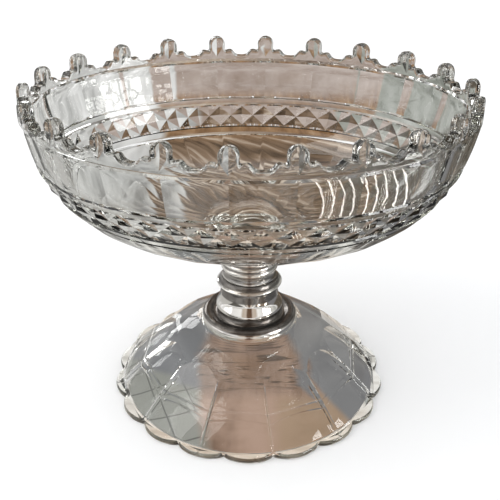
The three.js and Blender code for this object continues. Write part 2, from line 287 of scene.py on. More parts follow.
def glass_material(name="lead_glass", edges=False):
    """Lead glass: clear with a faint warm grey cast, fire-polished waves and fine wear."""
    m, nt, p, out = new_material(name)
    tex = nt.nodes.new("ShaderNodeTexCoord")
    wave = node(nt, "ShaderNodeTexNoise", Scale=26.0, Detail=2.0, Roughness=0.45)
    nt.links.new(tex.outputs["Object"], wave.inputs["Vector"])
    tint = ramp(
        nt,
        wave.outputs["Fac"],
        [(0.3, (0.955, 0.96, 0.955)), (0.7, (0.985, 0.985, 0.975))],
    )
    nt.links.new(tint, p.inputs["Base Color"])
    p.inputs["Metallic"].default_value = 0.0
    p.inputs["Transmission Weight"].default_value = 1.0
    p.inputs["IOR"].default_value = 1.55
    fine = node(nt, "ShaderNodeTexNoise", Scale=420.0, Detail=3.0, Roughness=0.6)
    nt.links.new(tex.outputs["Object"], fine.inputs["Vector"])
    nt.links.new(
        map_range(nt, fine.outputs["Fac"], 0.45, 0.8, 0.0, 0.06), p.inputs["Roughness"]
    )
    bump = node(nt, "ShaderNodeBump", Strength=0.16, Distance=0.0006)
    nt.links.new(wave.outputs["Fac"], bump.inputs["Height"])
    if edges:
        ground = node(nt, "ShaderNodeBump", Strength=1.0, Distance=0.00026)
        nt.links.new(facet_edges(nt, tex.outputs["Object"]), ground.inputs["Height"])
        nt.links.new(bump.outputs["Normal"], ground.inputs["Normal"])
        bump = ground
    nt.links.new(bump.outputs["Normal"], p.inputs["Normal"])
    absorb = nt.nodes.new("ShaderNodeVolumeAbsorption")
    absorb.inputs["Color"].default_value = (0.74, 0.75, 0.68, 1)
    absorb.inputs["Density"].default_value = 10.0
    nt.links.new(absorb.outputs["Volume"], out.inputs["Volume"])
    return m


def groove_shade_stops(bands):
    """Ramp stops from 40 to 100 mm up: a soft band of painted shade, with some tarnish, for each groove (low,
    high, darkness).
    """
    stops = [(0.0, (0, 0, 0))]
    for low, high, darkness in bands:
        a, b = (low - 40) / 60, (high - 40) / 60
        stops += [
            (a - 0.012, (0, 0, 0)),
            (a + 0.004, (darkness,) * 3),
            (b - 0.004, (darkness,) * 3),
            (b + 0.012, (0, 0, 0)),
        ]
    return stops + [(1.0, (0, 0, 0))]


# painted shade and painted dark reflection, with some tarnish: the hollow between drum and flange, the drum's
# top under the knife ring, the knife ring's top face and the collar's grooves
GROOVE_SHADE = groove_shade_stops(
    [(49.3, 54.9, 1.0), (64.4, 71.2, 0.86), (73.3, 76.7, 0.92), (77.9, 81.6, 0.72), (85.1, 85.9, 0.85), (88.1, 89.3, 0.85)]
)


def silver_material():
    """Silver plate: bright, with hand polishing marks; its hollows and grooves are painted dark, partly
    tarnish and partly painted shade and painted dark reflection.
    """
    m, nt, p, out = new_material("silver_plate")
    tex = nt.nodes.new("ShaderNodeTexCoord")
    cloud = node(nt, "ShaderNodeTexNoise", Scale=90.0, Detail=5.0, Roughness=0.6)
    nt.links.new(tex.outputs["Object"], cloud.inputs["Vector"])
    geo = nt.nodes.new("ShaderNodeNewGeometry")
    # painted shade with tarnish: darker where the surface is concave
    hollow = map_range(nt, geo.outputs["Pointiness"], 0.40, 0.50, 1.0, 0.0)
    height = nt.nodes.new("ShaderNodeSeparateXYZ")
    nt.links.new(tex.outputs["Object"], height.inputs[0])
    # painted shade and painted dark reflection with tarnish, in bands by height
    groove_shade = ramp(
        nt,
        map_range(nt, height.outputs["Z"], 0.040, 0.100, 0.0, 1.0),
        GROOVE_SHADE,
    )
    darkening = node(nt, "ShaderNodeMath", operation="MAXIMUM")
    nt.links.new(hollow, darkening.inputs[0])
    nt.links.new(groove_shade, darkening.inputs[1])
    # tarnish and painted shade together, mottled by the cloud
    tarnish_and_shade = node(nt, "ShaderNodeMath", operation="MULTIPLY")
    nt.links.new(darkening.outputs[0], tarnish_and_shade.inputs[0])
    nt.links.new(
        map_range(nt, cloud.outputs["Fac"], 0.3, 0.7, 0.75, 1.0), tarnish_and_shade.inputs[1]
    )
    mix = nt.nodes.new("ShaderNodeMix")
    mix.data_type = "RGBA"
    nt.links.new(tarnish_and_shade.outputs[0], mix.inputs["Factor"])
    bright = ramp(
        nt, cloud.outputs["Fac"], [(0.3, (0.86, 0.83, 0.79)), (0.7, (0.95, 0.93, 0.9))]
    )
    nt.links.new(bright, mix.inputs[6])
    # the near-black of the tarnish and the painted shade
    mix.inputs[7].default_value = (0.030, 0.019, 0.012, 1)
    nt.links.new(mix.outputs[2], p.inputs["Base Color"])
    nt.links.new(
        map_range(nt, tarnish_and_shade.outputs[0], 0.35, 0.9, 1.0, 0.8), p.inputs["Metallic"]
    )
    # polishing marks run round the stem
    stretch = node(nt, "ShaderNodeMapping")
    stretch.inputs["Scale"].default_value = (40, 40, 2600)
    nt.links.new(tex.outputs["Object"], stretch.inputs["Vector"])
    marks = node(nt, "ShaderNodeTexNoise", Scale=1.0, Detail=3.0, Roughness=0.7)
    nt.links.new(stretch.outputs["Vector"], marks.inputs["Vector"])
    rough = node(nt, "ShaderNodeMath", operation="ADD")
    nt.links.new(
        map_range(nt, marks.outputs["Fac"], 0.35, 0.7, 0.03, 0.12), rough.inputs[0]
    )
    nt.links.new(
        map_range(nt, tarnish_and_shade.outputs[0], 0.3, 1.0, 0.0, 0.16), rough.inputs[1]
    )
    nt.links.new(rough.outputs[0], p.inputs["Roughness"])
    dents = node(nt, "ShaderNodeTexNoise", Scale=160.0, Detail=2.0, Roughness=0.5)
    nt.links.new(tex.outputs["Object"], dents.inputs["Vector"])
    bump = node(nt, "ShaderNodeBump", Strength=0.10, Distance=0.0004)
    nt.links.new(dents.outputs["Fac"], bump.inputs["Height"])
    fine = node(nt, "ShaderNodeBump", Strength=0.06, Distance=0.00008)
    nt.links.new(marks.outputs["Fac"], fine.inputs["Height"])
    nt.links.new(bump.outputs["Normal"], fine.inputs["Normal"])
    nt.links.new(fine.outputs["Normal"], p.inputs["Normal"])
    return m


def brass_material():
    m, nt, p, out = new_material("brass")
    tex = nt.nodes.new("ShaderNodeTexCoord")
    cloud = node(nt, "ShaderNodeTexNoise", Scale=140.0, Detail=6.0, Roughness=0.65)
    nt.links.new(tex.outputs["Object"], cloud.inputs["Vector"])
    nt.links.new(
        ramp(
            nt,
            cloud.outputs["Fac"],
            [
                (0.25, (0.22, 0.14, 0.06)),
                (0.5, (0.55, 0.40, 0.19)),
                (0.75, (0.78, 0.61, 0.33)),
            ],
        ),
        p.inputs["Base Color"],
    )
    p.inputs["Metallic"].default_value = 1.0
    nt.links.new(
        map_range(nt, cloud.outputs["Fac"], 0.3, 0.7, 0.5, 0.24), p.inputs["Roughness"]
    )
    stretch = node(nt, "ShaderNodeMapping")
    stretch.inputs["Scale"].default_value = (120, 120, 1800)
    nt.links.new(tex.outputs["Object"], stretch.inputs["Vector"])
    turned = node(nt, "ShaderNodeTexNoise", Scale=1.0, Detail=2.0)
    nt.links.new(stretch.outputs["Vector"], turned.inputs["Vector"])
    bump = node(nt, "ShaderNodeBump", Strength=0.2, Distance=0.0001)
    nt.links.new(turned.outputs["Fac"], bump.inputs["Height"])
    nt.links.new(bump.outputs["Normal"], p.inputs["Normal"])
    return m


def plaster_material():
    m, nt, p, out = new_material("plaster")
    tex = nt.nodes.new("ShaderNodeTexCoord")
    cloud = node(nt, "ShaderNodeTexNoise", Scale=300.0, Detail=6.0, Roughness=0.7)
    nt.links.new(tex.outputs["Object"], cloud.inputs["Vector"])
    nt.links.new(
        ramp(
            nt,
            cloud.outputs["Fac"],
            [(0.3, (0.17, 0.12, 0.085)), (0.5, (0.3, 0.22, 0.16)), (0.7, (0.42, 0.33, 0.25))],
        ),
        p.inputs["Base Color"],
    )
    p.inputs["Roughness"].default_value = 0.92
    bump = node(nt, "ShaderNodeBump", Strength=0.4, Distance=0.0002)
    nt.links.new(cloud.outputs["Fac"], bump.inputs["Height"])
    nt.links.new(bump.outputs["Normal"], p.inputs["Normal"])
    return m


GLASS = glass_material()
FOOT_GLASS = glass_material("lead_glass_foot", edges=True)
SILVER = silver_material()
BRASS = brass_material()
PLASTER = plaster_material()


# ------------------------------------------------------------------ the bowl
def catmull(points, per):
    """A smooth curve through the points, `per` steps to a span."""
    p = np.asarray(points, float)
    q = np.vstack([2 * p[0] - p[1], p, 2 * p[-1] - p[-2]])
    out = []
    for i in range(1, len(q) - 2):
        for k in range(per):
            t = k / per
            a, b, c, d = q[i - 1], q[i], q[i + 1], q[i + 2]
            out.append(
                0.5
                * (
                    2 * b
                    + (c - a) * t
                    + (2 * a - 5 * b + 4 * c - d) * t * t
                    + (3 * b - a - 3 * c + d) * t**3
                )
            )
    out.append(p[-1])
    return np.array(out)


# Half of the rim outline from the middle of a tab to the middle of a scoop:
# distance along the rim and height.
half = PITCH / 2
head = [
    (TAB_HALF * math.sin(a), HEIGHT - TAB_HALF * (1 - math.cos(a)))
    for a in np.linspace(0, math.pi / 2, 9)
]
rest = [
    (TAB_HALF - 0.06, 193.8),
    (TAB_HALF - 0.2, 192.5),
    (TAB_HALF - 0.1, 191.4),
    (TAB_HALF + 0.4, 190.75),
    (TAB_HALF + 1.1, 190.65),
    (TAB_HALF + 2.1, 191.0),
    (TAB_HALF + 3.4, 191.2),
    (half - 6.6, 191.0),
    (half - 5.7, 190.35),
    (half - 5.1, 189.5),
    (half - 4.3, 188.55),
    (half - 3.1, 187.85),
    (half - 1.5, 187.55),
    (half, SCOOP_LOW),
]
dense = catmull(head + rest, 12)
dense[:, 1] = np.minimum(dense[:, 1], HEIGHT)
arc_s = np.concatenate([[0], np.cumsum(np.hypot(*np.diff(dense, axis=0).T))])
N_HALF = PER // 2
# more columns on the round head and the corners
turn = np.concatenate([[0], np.abs(np.diff(np.unwrap(np.arctan2(*np.diff(dense, axis=0).T)))), [0]])
weight = np.cumsum(np.concatenate([[0], np.diff(arc_s) * 1.0 + turn[1:] * 1.6]))
weight /= weight[-1]
pick = np.interp(np.linspace(0, 1, N_HALF + 1), weight, arc_s)
outline = np.stack(
    [np.interp(pick, arc_s, dense[:, 0]), np.interp(pick, arc_s, dense[:, 1])], 1
)
outline[0] = (0, HEIGHT)
outline[-1] = (half, SCOOP_LOW)
tangent = np.gradient(dense, axis=0)
normal = np.stack([-tangent[:, 1], tangent[:, 0]], 1)
normal /= np.hypot(*normal.T)[:, None]
if normal[0, 1] < 0:
    normal = -normal
kernel = np.ones(9) / 9
for i in range(2):
    padded = np.pad(normal[:, i], 4, mode="edge")
    normal[:, i] = np.convolve(padded, kernel, "valid")
normal /= np.hypot(*normal.T)[:, None]
out_n = np.stack(
    [np.interp(pick, arc_s, normal[:, 0]), np.interp(pick, arc_s, normal[:, 1])], 1
)
out_n[0] = (0, 1)
out_n[-1] = (0, 1)
# where each column starts at the foot of the tabs, so that no two columns cross
side_end = arc_s[np.argmin(np.abs(dense[:, 1] - 191.3) + (dense[:, 0] > 6) * 99)]
base_s = np.where(
    pick <= side_end,
    4.1 * pick / side_end,
    4.1 + (half - 4.1) * (pick - side_end) / (arc_s[-1] - side_end),
)


def whole(values, odd):
    """A half pitch of column values made into a whole pitch (last column left out)."""
    mirrored = (PITCH - values[::-1]) if odd else values[::-1]
    return np.concatenate([values, mirrored[1:-1]])


BASE_S = whole(base_s, True)
OUT_S, OUT_Z = whole(outline[:, 0], True), whole(outline[:, 1], False)
OUT_NS = np.concatenate([out_n[:, 0], -out_n[::-1, 0][1:-1]])
OUT_NZ = whole(out_n[:, 1], False)
EVEN_S = np.arange(PER) / PER * PITCH


def shares(s):
    """Column shares of the rim for one pitch of distances, repeated round the bowl."""
    return np.concatenate([tab_share(k) + s / RIM_LENGTH for k in range(TABS)])


def tile(v):
    return np.tile(np.broadcast_to(v, (PER,)), TABS)


def wall(fa, fb, z, s, cut=0.0, flat=0.0):
    """Points of one row: z, s and cut hold a value for each column of a pitch."""
    z = tile(z)
    u = shares(np.broadcast_to(s, (PER,)))
    t = angle_at(u)
    a, b = fa(z), fb(z)
    x, y = a * np.cos(t), b * np.sin(t)
    if flat:
        k = np.repeat(np.arange(TABS), PER)
        t0, t1 = angle_at(tab_share(k)), angle_at(tab_share(k + 1))
        f = (u - tab_share(k)) * TABS
        px, py = a * np.cos(t0), b * np.sin(t0)
        qx, qy = a * np.cos(t1), b * np.sin(t1)
        x += flat * (px + (qx - px) * f - x)
        y += flat * (py + (qy - py) * f - y)
    nx, ny = x / (a * a), y / (b * b)
    length = np.hypot(nx, ny)
    cut = tile(cut)
    return np.stack([x - cut * nx / length, y - cut * ny / length, z], 1)


def circle(r, z, s=EVEN_S):
    t = angle_at(shares(s))
    return np.stack([r * np.cos(t), r * np.sin(t), np.full(COLS, z)], 1)


rows = []
for r, z in [
    (PEG_R - 1.0, PEG_BOTTOM),
    (PEG_R - 0.3, PEG_BOTTOM + 0.3),
    (PEG_R, PEG_BOTTOM + 1.0),
    (PEG_R, 87.0),
    (PEG_R, 92.8),
    (PEG_R + 0.5, 93.5),
    (PEG_R + 1.6, 94.1),
    (NECK_R, 94.9),
    (NECK_R, 98.0),
    (NECK_R + 0.2, 101.0),
    (NECK_R + 0.9, 103.2),
    (NECK_R + 2.4, 104.9),
    (NECK_R + 5.0, 106.4),
]:
    rows.append(circle(r, z))

x = EVEN_S / PITCH
scallop = 4 * x * (1 - x)  # a hollow flute across each pitch
flute_depth = pchip(
    [107.8, 110.6, 114.6, 120.0, 128.0, 135.6], [0.0, 1.0, 1.6, 0.8, 0.5, 0.42]
)
for z in [107.8, 109, 110.4, 112, 114, 116.4, 119, 121.8, 124.6, 127.4, 130.2, 133, 135.5]:
    rows.append(wall(OUT_A, OUT_B, z, EVEN_S, flute_depth(z) * scallop))
# lower ring: a plain band between two grooves
rows.append(wall(OUT_A, OUT_B, 136.4, EVEN_S, 1.0))
rows.append(wall(OUT_A, OUT_B, 137.4, EVEN_S, 0.0))
rows.append(wall(OUT_A, OUT_B, 138.8, EVEN_S, 0.0))
rows.append(wall(OUT_A, OUT_B, 140.3, EVEN_S, 0.0))
rows.append(wall(OUT_A, OUT_B, 141.3, EVEN_S, 1.0))
# relief diamonds
N_DIA = PER // 4
q = (np.arange(PER) % (PER // 2)) / N_DIA  # 0..2 over half a pitch
dx = np.minimum(q, 2 - q)  # distance from an even column, in half diamonds
DIAMOND_START = len(rows)
for i in range(2 * N_DIA + 1):
    z = 142.2 + 11.6 * i / (2 * N_DIA)
    dz = abs(i - N_DIA) / N_DIA  # 0 at the middle row, 1 at the band edges
    # even columns peak at the middle row, odd columns at the band edges
    inner = dx + dz
    outer = (1 - dx) + (1 - dz)
    rows.append(wall(OUT_A, OUT_B, z, EVEN_S, 1.55 * np.minimum(inner, outer)))
DIAMOND_END = len(rows) - 1
# upper ring
rows.append(wall(OUT_A, OUT_B, 154.7, EVEN_S, 1.0))
rows.append(wall(OUT_A, OUT_B, 155.7, EVEN_S, 0.0))
rows.append(wall(OUT_A, OUT_B, 158.2, EVEN_S, 0.0))
rows.append(wall(OUT_A, OUT_B, 159.2, EVEN_S, 1.0))
# flat panels, where the columns drift to their places under the tabs
for f in [0.0, 0.25, 0.5, 0.75, 1.0]:
    s = EVEN_S + (BASE_S - EVEN_S) * f
    rows.append(wall(OUT_A, OUT_B, 160.0 + 22.0 * f, s, 0.0, 1.0))
# mitre ring
rows.append(wall(OUT_A, OUT_B, 183.4, BASE_S, 1.4))
rows.append(wall(OUT_A, OUT_B, 184.8, BASE_S, 0.0))

# tabs and scoops: up to an inset of the outline, then round the edge
EDGE_IN, EDGE_DEEP = 1.35, 2.3
in_s = OUT_S - EDGE_IN * OUT_NS
in_z = OUT_Z - EDGE_IN * OUT_NZ
for f in [0.25, 0.5, 0.75, 1.0]:
    rows.append(
        wall(OUT_A, OUT_B, 184.8 + (in_z - 184.8) * f, BASE_S + (in_s - BASE_S) * f)
    )
ROUND = [18, 36, 54, 72, 90]
for deg in ROUND:
    k = EDGE_IN * (1 - math.sin(deg * RAD))
    rows.append(
        wall(
            OUT_A,
            OUT_B,
            OUT_Z - k * OUT_NZ,
            OUT_S - k * OUT_NS,
            EDGE_DEEP * (1 - math.cos(deg * RAD)),
        )
    )
for deg in ROUND[::-1]:
    k = EDGE_IN * (1 - math.sin(deg * RAD))
    rows.append(
        wall(
            IN_A,
            IN_B,
            OUT_Z - k * OUT_NZ,
            OUT_S - k * OUT_NS,
            -EDGE_DEEP * (1 - math.cos(deg * RAD)),
        )
    )
for f in [1.0, 0.66, 0.33, 0.0]:
    rows.append(
        wall(IN_A, IN_B, 185.0 + (in_z - 185.0) * f, BASE_S + (in_s - BASE_S) * f)
    )
# the plain inside
inner_z = [181, 177, 173, 168.5, 164, 159.5, 155, 151, 147, 143.4, 140, 136.8, 133.8]
inner_z += [131, 128.4, 126, 123.8, 121.8, 120, 118.6, 117.5, 116.6, 115.9]
for z in inner_z:
    f = max(0.0, (z - 160) / 25)
    rows.append(wall(IN_A, IN_B, z, EVEN_S + (BASE_S - EVEN_S) * f))
a_low, b_low = float(IN_A(115.9)), float(IN_B(115.9))
for f, z in [(0.72, 115.35), (0.42, 115.0), (0.16, 114.84)]:
    t = angle_at(shares(EVEN_S))
    rows.append(
        np.stack([f * a_low * np.cos(t), f * b_low * np.sin(t), np.full(COLS, z)], 1)
    )

verts = np.concatenate(rows) * MM
n_rows = len(rows)
low = len(verts)
verts = np.vstack([verts, [[0, 0, PEG_BOTTOM * MM], [0, 0, 114.8 * MM]]])
faces = []
for i in range(n_rows - 1):
    band = DIAMOND_START <= i < DIAMOND_END
    for c in range(COLS):
        d = (c + 1) % COLS
        a, b, e, f = i * COLS + c, i * COLS + d, (i + 1) * COLS + c, (i + 1) * COLS + d
        if not band:
            faces.append((a, b, f, e))
            continue
        # the diagonal follows the valleys of the diamonds
        column = (c % (PER // 2)) // N_DIA  # 0: leaving an even column, 1: reaching one
        upper = (i - DIAMOND_START) // N_DIA
        if (column + upper) % 2 == 0:
            # valley from low corner: even column at the band edge to odd column at the middle
            faces.append((a, b, f))
            faces.append((a, f, e))
        else:
            faces.append((a, b, e))
            faces.append((b, f, e))
for c in range(COLS):
    d = (c + 1) % COLS
    faces.append((low, d, c))
    top = (n_rows - 1) * COLS
    faces.append((top + c, top + d, low + 1))

bowl = mesh_from("cut_glass_bowl", verts, faces, ["glass_bowl"], GLASS)

# A mitre cut down the outer face of each tab, which runs out in a point below it.
cut_v, cut_f = [], []
for k in range(TABS):
    t = float(angle_at(tab_share(k)))
    p = np.array([RIM_A * math.cos(t), RIM_B * math.sin(t)])
    n = np.array([math.cos(t) / RIM_A, math.sin(t) / RIM_B])
    n /= np.hypot(*n)
    along = np.array([-n[1], n[0]])
    base = len(cut_v)
    for z, deep in [(183.6, -0.70), (192.4, 1.7), (203.0, 1.7)]:
        reach = 2.2
        wide = (deep + reach) * 2.55
        for s, d in [(-wide, -reach), (0, deep), (wide, -reach)]:
            q2 = p + along * s - n * d
            cut_v.append((q2[0] * MM, q2[1] * MM, z * MM))
    cut_f += [(base, base + 1, base + 2), (base + 8, base + 7, base + 6)]
    for j in (0, 3):
        for i in range(3):
            a, b = base + j + i, base + j + (i + 1) % 3
            cut_f.append((a, a + 3, b + 3, b))
cutter = loose("tab_cutter", cut_v, cut_f)
boolean(bowl, cutter, "DIFFERENCE")


def bowl_crease(m):
    if m.z > 185.0:
        return 19.5
    if m.z < 107.5:
        return 32.0
    return 7.5


sharpen(bowl, bowl_crease)
bowl.data.materials.clear()
bowl.data.materials.append(GLASS)

# ------------------------------------------------------------------ the foot
CROWN_Z, CEILING_Z = 43.0, 35.2
FOOT_PEG_R, FOOT_PEG_TOP = 10.5, 56.0
LOBES, LOBE_R, NOTCH_R, LIP = 18, 87.6, 83.0, 3.2


def spline_rz(points, step):
    """A smooth curve through (r, z) points, resampled at about `step` mm."""
    c = catmull(points, 16)
    s = np.concatenate([[0], np.cumsum(np.hypot(*np.diff(c, axis=0).T))])
    n = max(2, int(round(s[-1] / step)))
    w = np.linspace(0, s[-1], n + 1)
    return [(float(np.interp(v, s, c[:, 0])), float(np.interp(v, s, c[:, 1]))) for v in w]


def lathe(points, segments, phase=0.0, radius=None):
    """Vertices and faces of a closed profile turned about Z (the last point joins the first).

    A profile that starts and ends on the axis gets one vertex at each end.
    """
    v, f = [], []
    poled = points[0][0] == 0 and points[-1][0] == 0
    body = points[1:-1] if poled else points
    n = len(body)
    for j in range(segments):
        a = phase + 2 * math.pi * j / segments
        for r, z in body:
            rr = radius(r, z, a) if radius else r
            v.append((rr * math.cos(a) * MM, rr * math.sin(a) * MM, z * MM))
    start, end = len(v), len(v) + 1
    if poled:
        v += [(0, 0, points[0][1] * MM), (0, 0, points[-1][1] * MM)]
    for j in range(segments):
        k = (j + 1) % segments
        for i in range(n - 1 if poled else n):
            m = (i + 1) % n
            f.append((j * n + i, k * n + i, k * n + m, j * n + m))
        if poled:
            f.append((start, k * n, j * n))
            f.append((end, j * n + n - 1, k * n + n - 1))
    return v, f


def lobe(a):
    phase = ((a / RAD + 120) % (360 / LOBES)) / (360 / LOBES)
    return NOTCH_R + (LOBE_R - NOTCH_R) * math.sin(math.pi * phase) ** 0.7


dome = spline_rz(
    [
        (30.8, 44.15),
        (34.0, 43.0),
        (40.0, 40.2),
        (46.0, 36.7),
        (52.0, 32.9),
        (60.0, 27.3),
        (68.5, 20.8),
        (78.0, 12.6),
        (86.8, 3.0),
    ],
    1.6,
)
hollow = spline_rz(
    [
        (6.0, 35.15),
        (11.0, 34.9),
        (22.0, 33.9),
        (33.0, 31.2),
        (46.5, 26.0),
        (60.5, 17.8),
        (71.0, 9.6),
        (79.0, 2.2),
        (80.6, 0.0),
    ],
    2.2,
)
# listed so that the turned faces look outwards: up the inside, over the crown, down the dome
peg = [
    (30.6, 43.9),
    (30.4, CROWN_Z + 0.2),
    (30.2, CROWN_Z),
    (20.0, CROWN_Z),
    (FOOT_PEG_R + 0.9, CROWN_Z),
    (FOOT_PEG_R + 0.3, CROWN_Z + 0.25),
    (FOOT_PEG_R + 0.1, CROWN_Z + 0.9),
    (FOOT_PEG_R, FOOT_PEG_TOP - 0.6),
    (FOOT_PEG_R - 0.6, FOOT_PEG_TOP),
    (5.0, FOOT_PEG_TOP),
    (0, FOOT_PEG_TOP),
]
shape = [(0, CEILING_Z)] + hollow + [(86.8, 0.0)] + dome[::-1] + peg
foot_v, foot_f = lathe(
    shape,
    360,
    radius=lambda r, z, a: min(r, lobe(a) - 0.25) if z < 14 and r > 76 else r,
)
foot = mesh_from("cut_glass_foot", foot_v, foot_f, ["glass_foot"], FOOT_GLASS)

bm = bmesh.new()
bm.from_mesh(foot.data)
bmesh.ops.recalc_face_normals(bm, faces=bm.faces)


def facets(count, first, distance, height, slope):
    for k in range(count):
        a = (first + k * 360 / count) * RAD
        n = Vector((slope * math.cos(a), slope * math.sin(a), 1.0)).normalized()
        p = Vector((distance * math.cos(a), distance * math.sin(a), height)) * MM
        cut = bmesh.ops.bisect_plane(
            bm,
            geom=bm.verts[:] + bm.edges[:] + bm.faces[:],
            dist=1e-7,
            plane_co=p,
            plane_no=n,
            clear_outer=True,
        )
        edges = [e for e in cut["geom_cut"] if isinstance(e, bmesh.types.BMEdge)]
        edges = [e for e in edges if e.is_valid and e.is_boundary]
        if edges:
            bmesh.ops.edgeloop_fill(bm, edges=edges)


RIDGE = -110
facets(12, RIDGE + 15, 66.2, 19.4, 1.0)
facets(12, RIDGE + 15, 66.2, 19.4, 0.885)
bmesh.ops.recalc_face_normals(bm, faces=bm.faces)
bm.to_mesh(foot.data)
open_edges = sum(1 for e in bm.edges if len(e.link_faces) != 2)
bm.free()
print("foot: open edges", open_edges)

# the scalloped lip
lip_shape = [(81.2, 0.0), (-1.0, 0.0)]
for deg in (22.5, 45, 67.5, 90):
    lip_shape.append((-1.0 + 1.0 * math.sin(deg * RAD), 1.0 - 1.0 * math.cos(deg * RAD)))
for deg in (0, 22.5, 45, 67.5, 90):
    lip_shape.append(
        (-1.5 + 1.5 * math.cos(deg * RAD), LIP - 1.5 + 1.5 * math.sin(deg * RAD))
    )
lip_shape.append((81.2, LIP))
lip_v, lip_f = lathe(
    lip_shape,
    LOBES * 20,
    phase=-120 * RAD,
    radius=lambda r, z, a: r if r > 10 else lobe(a) + r,
)
lip = loose("lip", lip_v, lip_f)
b2 = bmesh.new()
b2.from_mesh(lip.data)
bmesh.ops.recalc_face_normals(b2, faces=b2.faces)
b2.to_mesh(lip.data)
b2.free()
boolean(foot, lip, "UNION")
sharpen(foot, lambda m: 24.0 if (m.z < 3.4 and m.xy.length > 80) else 2.2)
foot.data.materials.clear()
foot.data.materials.append(FOOT_GLASS)

# ------------------------------------------------------------------ the mount
GAP, BOLT_R = 0.3, 4.0


def run(*parts):
    """Joins straight lists and curves of (r, z) points, leaving out repeats."""
    out = []
    for part in parts:
        for p in part:
            if not out or math.dist(out[-1], p) > 1e-4:
                out.append(p)
    if math.dist(out[0], out[-1]) < 1e-4:
        out.pop()
    return out


def arc(cr, cz, radius, a0, a1, n=8, rz=None):
    rz = radius if rz is None else rz
    return [
        (
            cr + radius * math.cos((a0 + (a1 - a0) * i / n) * RAD),
            cz + rz * math.sin((a0 + (a1 - a0) * i / n) * RAD),
        )
        for i in range(n + 1)
    ]


def turned_piece(name, points, replaces, material, crease=32, segments=144):
    v, f = lathe(points, segments)
    ob = mesh_from(name, v, f, replaces, material)
    b = bmesh.new()
    b.from_mesh(ob.data)
    bmesh.ops.recalc_face_normals(b, faces=b.faces)
    b.to_mesh(ob.data)
    b.free()
    sharpen(ob, lambda m: crease)
    return ob


turned_piece(
    "silver_collar",
    run(
        [(BOLT_R + GAP, 70.7), (10.0, 70.7), (10.0, 76.6), (16.6, 76.6)],
        arc(16.6, 77.0, 0.4, -90, 0, 4),
        spline_rz(
            [
                (17.0, 77.1),
                (16.75, 78.0),
                (16.35, 79.2),
                (16.25, 80.4),
                (16.45, 81.4),
                (16.85, 82.0),
            ],
            0.4,
        ),
        arc(16.4, 83.6, 1.2, -62, 62, 9, 1.5),
        [(16.4, 85.2), (16.25, 85.6)],
        arc(16.2, 86.9, 0.8, -75, 75, 8, 1.0),
        [(16.0, 88.3), (16.0, 88.7)],
        spline_rz([(16.1, 89.0), (16.6, 89.3), (17.0, 89.9)], 0.3),
        arc(16.3, 91.0, 1.05, -45, 80, 10, 1.3),
        [(15.6, 92.9), (14.9, 93.3), (14.6, 93.0), (14.6, 79.6), (BOLT_R + GAP, 79.6)],
    ),
    ["bowl_collar"],
    SILVER,
)
turned_piece(
    "silver_knife_ring",
    run(
        [(10.3, 70.6), (16.8, 70.6)],
        spline_rz([(17.0, 70.65), (17.8, 71.1), (19.4, 71.5), (20.0, 71.75)], 0.35),
        arc(19.98, 72.15, 0.4, -70, 65, 6, 0.4),
        spline_rz([(20.1, 72.6), (19.2, 73.2), (18.2, 74.2), (17.6, 75.2), (17.3, 76.2)], 0.4),
        [(17.0, 76.3), (10.3, 76.3)],
    ),
    ["knife_edge_ring"],
    SILVER,
)
turned_piece(
    "silver_drum",
    run(
        [(15.2, 54.9), (20.5, 54.9)],
        arc(20.55, 55.5, 0.6, -90, 20, 5, 0.6),
        spline_rz(
            [
                (21.1, 55.8),
                (20.75, 57.0),
                (20.05, 58.5),
                (19.2, 60.4),
                (18.5, 62.4),
                (18.1, 64.6),
                (17.9, 66.7),
                (17.7, 68.7),
                (17.35, 70.1),
            ],
            0.5,
        ),
        [(17.1, 70.3), (BOLT_R + GAP, 70.3), (BOLT_R + GAP, 67.5), (13.2, 67.5)],
        [(14.6, 65.7), (15.2, 62.8)],
    ),
    ["stem_drum"],
    SILVER,
)
turned_piece(
    "silver_flange",
    run(
        [(12.9, CROWN_Z + 1.5), (27.7, CROWN_Z + 1.5), (27.7, CROWN_Z + 0.3), (28.5, CROWN_Z + 0.3)],
        spline_rz([(28.8, 43.4), (29.5, 44.1), (29.95, 45.2), (30.1, 46.7)], 0.4),
        arc(26.6, 47.0, 3.5, 0, 96, 16, 3.85),
        spline_rz(
            [
                (26.0, 50.8),
                (24.6, 50.45),
                (23.2, 49.8),
                (21.8, 49.4),
                (20.4, 49.9),
                (19.4, 51.3),
                (18.95, 53.0),
                (18.75, 54.4),
            ],
            0.4,
        ),
        [(18.5, 54.6), (14.9, 54.6), (14.9, 60.2), (14.5, 60.6), (12.9, 60.6)],
    ),
    ["base_flange"],
    SILVER,
)

# ------------------------------------------------------------------ hidden hardware
for name, material in [
    ("bowl_plaster", PLASTER),
    ("foot_plaster", PLASTER),
    ("bolt_washer", BRASS),
    ("tie_bolt", BRASS),
]:
    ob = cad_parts[name]
    ob.data.materials.clear()
    ob.data.materials.append(material)

# ------------------------------------------------------------------ stage
def flat_panel(name, corners, material, seen=True):
    """A flat stage card. One that isn't seen directly shows only in the glass and the silver."""
    ob = loose(name, corners, [(0, 1, 2, 3)])
    ob.data.materials.append(material)
    if not seen:
        hide_from_camera(ob)
    return ob


def hide_from_camera(ob):
    ob.visible_camera = False
    ob.visible_diffuse = False
    ob.visible_shadow = False
    ob.visible_volume_scatter = False


def floor_material():
    m, nt, p, out = new_material("studio_floor")
    p.inputs["Base Color"].default_value = (0.9, 0.9, 0.895, 1)
    p.inputs["Roughness"].default_value = 0.9
    p.inputs["Specular IOR Level"].default_value = 0.1
    return m


